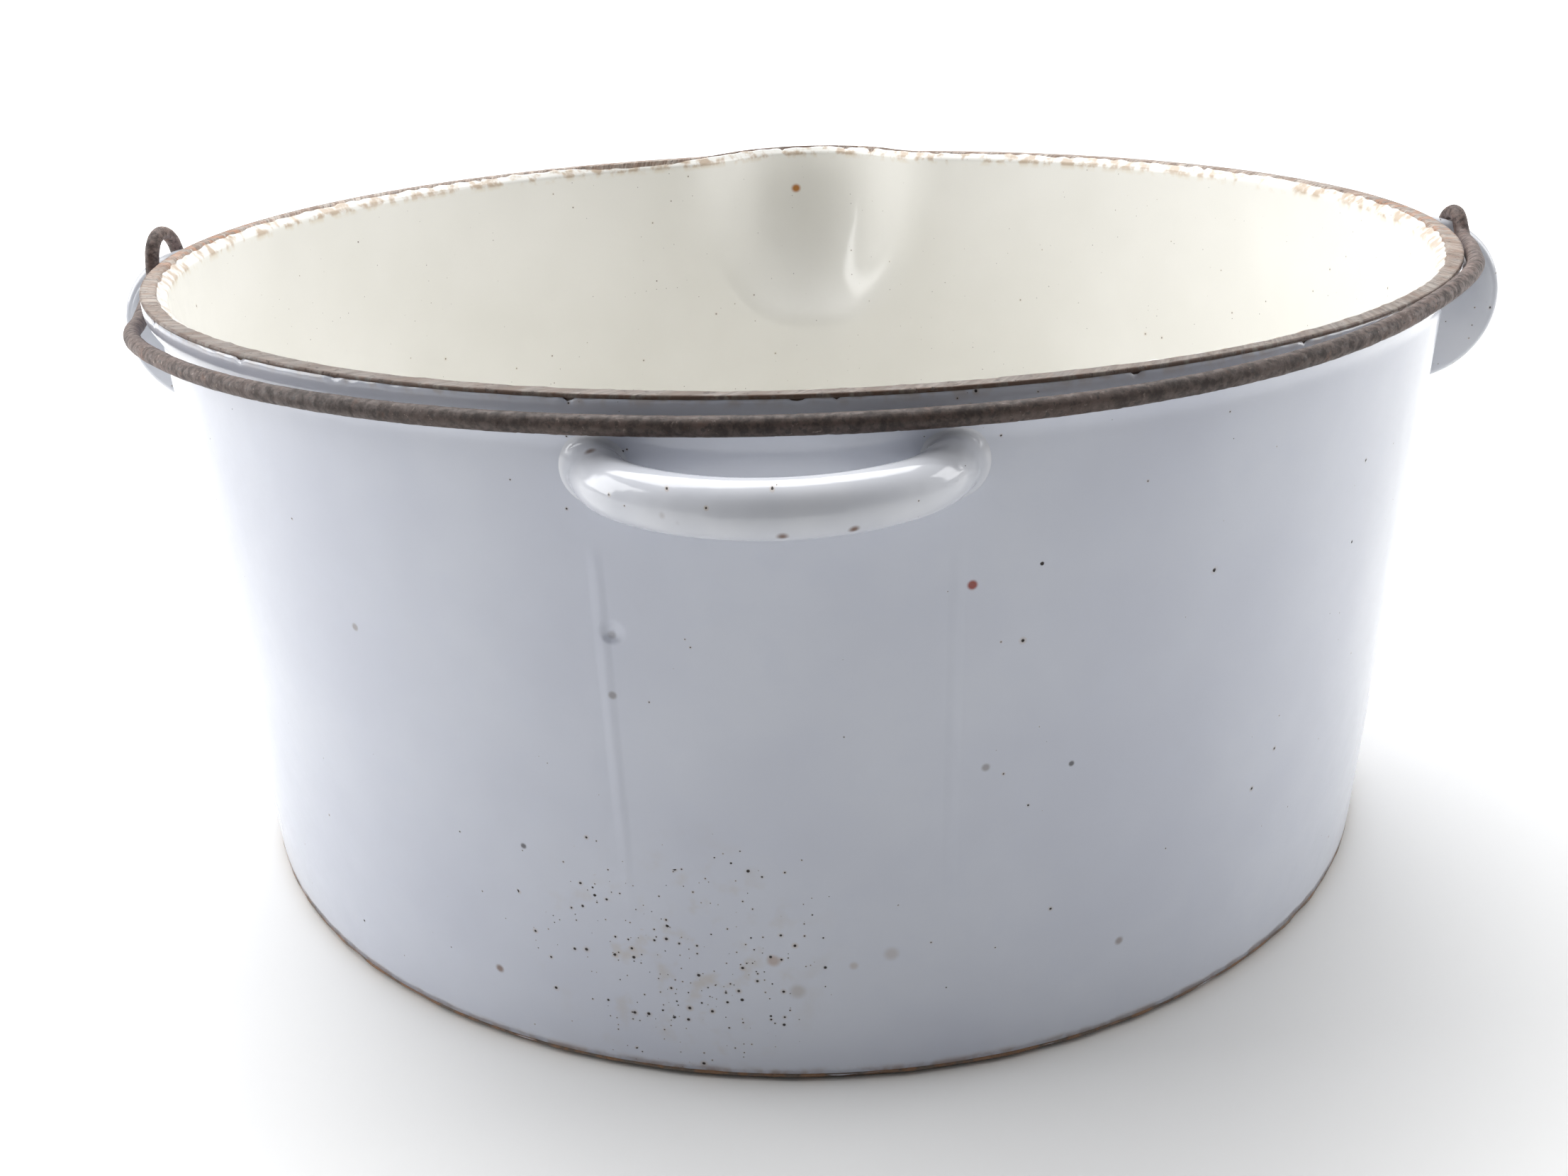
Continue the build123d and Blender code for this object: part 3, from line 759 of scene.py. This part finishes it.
def rusty_wire():
    """Matt rusted steel: brown scale over a pinkish grey film, pitted, orange in places, with painted shade
    on its front.
    """
    f = Finish("rusty_bail_wire", IOR=1.5)
    scale = f.noise(2.2, 6.0, None, 0.68)
    patch = f.noise(16, 4.0, None, 0.6)
    base = f.colour(f.step(scale, 0.36, 0.62), rgb(56, 42, 37), rgb(104, 86, 79))
    base = f.colour(f.step(patch, 0.45, 0.68, 0.0, 0.5), base, rgb(128, 107, 99))
    base = f.colour(f.times(f.step(f.noise(7, 5.0, None, 0.65), 0.58, 0.70), 0.4), base, rgb(132, 84, 54))
    worn = f.step(f.noise(0.9, 3.0), 0.62, 0.74)
    base = f.colour(f.times(worn, f.step(patch, 0.40, 0.60), 0.8), base, rgb(196, 180, 170))
    base = f.colour(f.times(f.step(f.noise(1.3, 4.0), 0.55, 0.66), 0.75), base, rgb(46, 34, 30))
    # painted shade: the wire is darkened toward the front, the side facing the viewer
    base = f.colour(f.step(f.y, -0.12, -0.19, 0.0, 0.55), base, rgb(40, 32, 28))
    relief = f.bump(scale, 0.16, 0.8)
    relief = f.bump(f.noise(0.7, 3.0), 0.05, 0.6, relief)
    f.put(f.shader.inputs["Metallic"], f.times(worn, 0.5))
    return f.done(base, f.step(scale, 0.3, 0.7, 0.72, 0.50), relief)


# angle, height, radius, soft width, colour, depth of single marks on the outer coat
SPOTS = (
    (12.6, 138.5, 0.7, 0.8, rgb(140, 52, 40), 1.0),
    (-1.3, 39.1, 0.7, 1.6, rgb(160, 118, 78), 0.5),
    (0.4, 29.5, 0.8, 2.2, rgb(150, 130, 104), 0.35),
    (7.4, 39.9, 0.7, 2.0, rgb(156, 132, 104), 0.3),
    (4.6, 37.0, 0.4, 1.2, rgb(156, 128, 98), 0.35),
    (-11.5, 112.4, 0.5, 0.9, rgb(110, 100, 92), 0.6),
    (-11.1, 128.0, 0.4, 1.0, rgb(112, 106, 106), 0.45),
    (14.0, 91.0, 0.5, 0.9, rgb(120, 110, 104), 0.6),
    (20.5, 88.0, 0.4, 0.6, PIT, 0.8),
    (-20.0, 66.0, 0.4, 0.7, PIT, 0.8),
    (-33.0, 118.0, 0.5, 0.9, rgb(130, 118, 104), 0.6),
    (-24.0, 24.0, 0.5, 1.2, rgb(118, 86, 60), 0.8),
    (26.0, 30.0, 0.5, 1.2, rgb(118, 96, 76), 0.6),
)

# ------------------------------------------------------------------ pieces
iron = ground_iron()
make_piece("pot_iron", *closed_grid(iron_rows()), iron, "pot", ["pot_casting"], "bare_iron")
make_piece("inner_glaze", *closed_grid(inner_glaze_rows()), inner_glaze(), "pot",
           ["inner_enamel"], "inner_glaze")
outer = outer_glaze_rows()
make_piece("outer_glaze", outer, grid_faces(*outer.shape[:2], True, True), outer_glaze(), "pot",
           ["outer_enamel"], "outer_glaze")
make_piece("grip_glaze", *closed_grid(grip_points()), handle_glaze("grip_glaze_finish", False), "pot",
           ["grip_enamel"], "handle_glaze")
ear_finish = handle_glaze("ear_glaze_finish", True)
for side, word in ((-1, "left"), (1, "right")):
    ear = ear_points(side)
    make_piece(f"{word}_ear_glaze", ear, grid_faces(*ear.shape[:2], True, True), ear_finish, "pot",
               [f"{word}_ear_enamel"], "handle_glaze")
make_piece("bail_wire", *closed_grid(bail_points()), rusty_wire(), "bail", ["bail"], "rusty_wire")

for node in ("front_grip", "left_ear", "right_ear"):
    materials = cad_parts[node].data.materials
    for index in range(len(materials)):
        materials[index] = iron


# ------------------------------------------------------------------ studio
def stage_sheet(name, corners, finish):
    """A flat sheet through four corners, in metres, that belongs to the studio."""
    mesh = bpy.data.meshes.new(name)
    mesh.from_pydata(corners, [], [(0, 1, 2, 3)])
    mesh.materials.append(finish)
    sheet = bpy.data.objects.new(name, mesh)
    bpy.context.scene.collection.objects.link(sheet)


def pale_floor():
    """A wide sheet of pale card that glows white far behind the pot."""
    f = Finish("pale_card")
    cloud = f.noise(400, 2.0)
    f.put(f.shader.inputs["Emission Color"], rgb(255, 255, 255))
    f.put(f.shader.inputs["Emission Strength"], f.step(f.y, 0.45, 1.1, 0.0, 0.8))
    card = f.done(f.colour(cloud, rgb(246, 246, 245), rgb(243, 243, 242)), 0.55, f.bump(cloud, 0.01, 0.1))
    half = 30
    corners = [(x * half, y * half, -0.00005) for x, y in ((-1, -1), (1, -1), (1, 1), (-1, 1))]
    stage_sheet("studio_floor", corners, card)


def dark_card():
    """A dark upright sheet in front, behind the viewer, that the glaze mirrors."""
    f = Finish("dark_card")
    card = f.done(rgb(34, 34, 36), 0.9, f.bump(f.noise(60), 0.01, 0.1))
    half, height, front = 0.45, 0.85, -0.85
    corners = [(x, front, z) for x, z in ((-half, 0), (half, 0), (half, height), (-half, height))]
    stage_sheet("dark_front_card", corners, card)


def softbox(name, place, target, size, power):
    """A rectangular light at place, facing target, in metres."""
    light = bpy.data.lights.new(name, "AREA")
    light.shape = "RECTANGLE"
    light.size, light.size_y = size
    light.energy = power
    lamp = bpy.data.objects.new(name, light)
    lamp.location = place
    lamp.rotation_euler = (Vector(target) - Vector(place)).to_track_quat("-Z", "Y").to_euler()
    bpy.context.scene.collection.objects.link(lamp)


def sky():
    """A white room with a dark side in front of the pot, behind the viewer."""
    world = bpy.data.worlds.new("white_room")
    world.use_nodes = True
    tree = world.node_tree
    ground = tree.nodes["Background"]
    place = tree.nodes.new("ShaderNodeTexCoord")
    split = tree.nodes.new("ShaderNodeSeparateXYZ")
    tree.links.new(place.outputs["Generated"], split.inputs[0])
    step = tree.nodes.new("ShaderNodeMapRange")
    step.interpolation_type = "SMOOTHSTEP"
    for key, value in (("From Min", -0.70), ("From Max", 0.10), ("To Min", 0.10), ("To Max", 1.0)):
        step.inputs[key].default_value = value
    tree.links.new(split.outputs[1], step.inputs["Value"])
    tree.links.new(step.outputs[0], ground.inputs["Strength"])
    ground.inputs["Color"].default_value = (1.0, 1.0, 1.0, 1.0)
    bpy.context.scene.world = world


def camera():
    """The viewer: from the front, a little to the right, looking down at the rim."""
    yaw, pitch, roll = radians(2.78), radians(-23.2), radians(1.964)
    forward = Vector((-sin(yaw) * cos(pitch), cos(yaw) * cos(pitch), sin(pitch)))
    level = Vector((cos(yaw), sin(yaw), 0.0))
    down = forward.cross(level)
    right = cos(roll) * level + sin(roll) * down
    up = sin(roll) * level - cos(roll) * down
    lens = bpy.data.cameras.new("viewer")
    lens.sensor_width = 36.0
    lens.lens = 33.72
    lens.clip_start = 0.01
    eye = bpy.data.objects.new("viewer", lens)
    turn = Matrix((right, up, -forward)).transposed().to_4x4()
    eye.matrix_world = Matrix.Translation((0.0157, -0.4869, 0.2657)) @ turn
    bpy.context.scene.collection.objects.link(eye)
    bpy.context.scene.camera = eye


pale_floor()
dark_card()
sky()
softbox("top_softbox", (-0.2, 0.75, 1.5), (0.0, 0.1, 0.1), (1.9, 1.2), 31.0)
softbox("left_softbox", (-1.5, 0.0, 0.75), (0.0, 0.0, 0.1), (0.9, 1.1), 13.0)
softbox("right_softbox", (1.6, 0.3, 0.75), (0.0, 0.0, 0.1), (0.7, 0.9), 7.0)
camera()
bpy.context.scene.view_settings.view_transform = "Standard"
